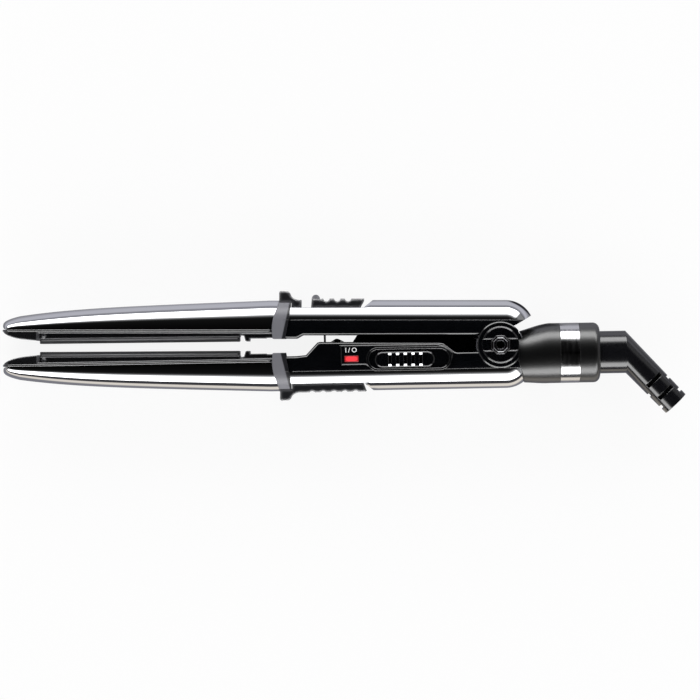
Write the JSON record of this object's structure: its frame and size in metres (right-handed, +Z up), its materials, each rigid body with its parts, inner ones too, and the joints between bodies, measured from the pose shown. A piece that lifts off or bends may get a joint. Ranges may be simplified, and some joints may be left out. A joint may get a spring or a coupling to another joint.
{
  "type": "curling iron",
  "caption": "Slim two-armed hair curling and straightening iron with chrome half-round barrels, sprung plates, a sliding switch, a latch and a swivelling angled cord boot.",
  "frame": {"origin": "hinge axis in the plane the iron lies on, at the centre of the hinge's flat back cap", "axes": "+X along the lower arm from the tips to the cord, +Y across from the lower arm to the upper arm, +Z up along the hinge axis, away from the resting plane"},
  "size_m": [0.3403, 0.0642, 0.03],
  "materials": {
    "band_metal": "bright metal band",
    "board_green": "glass-fibre board, lacquered",
    "boot_rubber": "moulded, semi-gloss black",
    "brass": "turned brass",
    "chrome_shell": "bright chrome, polished",
    "collar_black": "moulded, satin black",
    "frame_black": "moulded, heat-resistant, semi-matt black",
    "gloss_black": "moulded, gloss black",
    "grip_black": "moulded, satin black",
    "heater_foil": "polyimide foil over ceramic",
    "lead_pvc": "PVC insulation",
    "lens_red": "translucent red",
    "plate_coat": "aluminium with a ground dark ceramic coat",
    "satin_grey": "moulded, satin dark grey",
    "silicone": "silicone, matt",
    "steel": "bright steel",
    "switch_body": "moulded black"
  },
  "bodies": {
    "lower_arm": {"back_cap": "gloss_black", "back_washer": "steel", "capacitor": "switch_body", "circuit_board": "board_green", "end_cap": "collar_black", "front_cap": "gloss_black", "front_washer": "steel", "hinge_pin": "steel", "hinge_screw": "steel", "lamp": "lens_red", "lamp_lens": "lens_red", "live_lead": "lead_pvc", "lock_catch": "steel", "lower_band": "satin_grey", "lower_barrel_shell": "chrome_shell", "lower_guard": "grip_black", "lower_handle_core": "gloss_black", "lower_handle_shell": "chrome_shell", "lower_plate_cushion": "silicone", "lower_plate_frame": "frame_black", "lower_tip_cap": "frame_black", "metal_band": "band_metal", "neutral_lead": "lead_pvc", "opening_spring": "steel", "slide_switch": "switch_body", "slip_bush": "brass", "stop_bumper": "boot_rubber", "switch_panel": "gloss_black", "swivel_collar": "collar_black"},
    "cord_boot": {"cord_boot": "boot_rubber"},
    "lock_slider": {"lock_slider": "grip_black", "lock_tongue": "steel"},
    "lower_plate": {"lower_heater": "heater_foil", "lower_heating_plate": "plate_coat", "lower_plate_carrier": "frame_black", "lower_thermal_fuse": "steel"},
    "power_switch": {"switch_slider": "gloss_black"},
    "upper_arm": {"upper_band": "satin_grey", "upper_barrel_shell": "chrome_shell", "upper_guard": "grip_black", "upper_handle_core": "gloss_black", "upper_handle_shell": "chrome_shell", "upper_plate_cushion": "silicone", "upper_plate_frame": "frame_black", "upper_tip_cap": "frame_black"},
    "upper_plate": {"upper_heater": "heater_foil", "upper_heating_plate": "plate_coat", "upper_plate_carrier": "frame_black", "upper_thermal_fuse": "steel"}
  },
  "joints": [
    {"name": "arm_hinge", "type": "hinge", "parent": "lower_arm", "child": "upper_arm", "pos_m": [0, 0, 0.015], "axis": [0, 0, -1], "range_deg": [-0.9, 14]},
    {"name": "upper_plate_rock", "type": "hinge", "parent": "upper_arm", "child": "upper_plate", "pos_m": [-0.22689, 0.00856, 0.015], "axis": [0, 0, 1], "range_deg": [-0.6, 0]},
    {"name": "lower_plate_rock", "type": "hinge", "parent": "lower_arm", "child": "lower_plate", "pos_m": [-0.227, -0.0038, 0.015], "axis": [0, 0, -1], "range_deg": [-0.6, 0]},
    {"name": "switch_slide", "type": "slide", "parent": "lower_arm", "child": "power_switch", "axis": [1, 0, 0], "range_m": [0, 0.006]},
    {"name": "lock_slide", "type": "slide", "parent": "upper_arm", "child": "lock_slider", "axis": [-0.9998, 0.0175, 0], "range_m": [0, 0.0044]},
    {"name": "cord_swivel", "type": "hinge", "parent": "lower_arm", "child": "cord_boot", "pos_m": [0.05, -0.0046, 0.015], "axis": [1, 0, 0], "continuous": true}
  ]
}
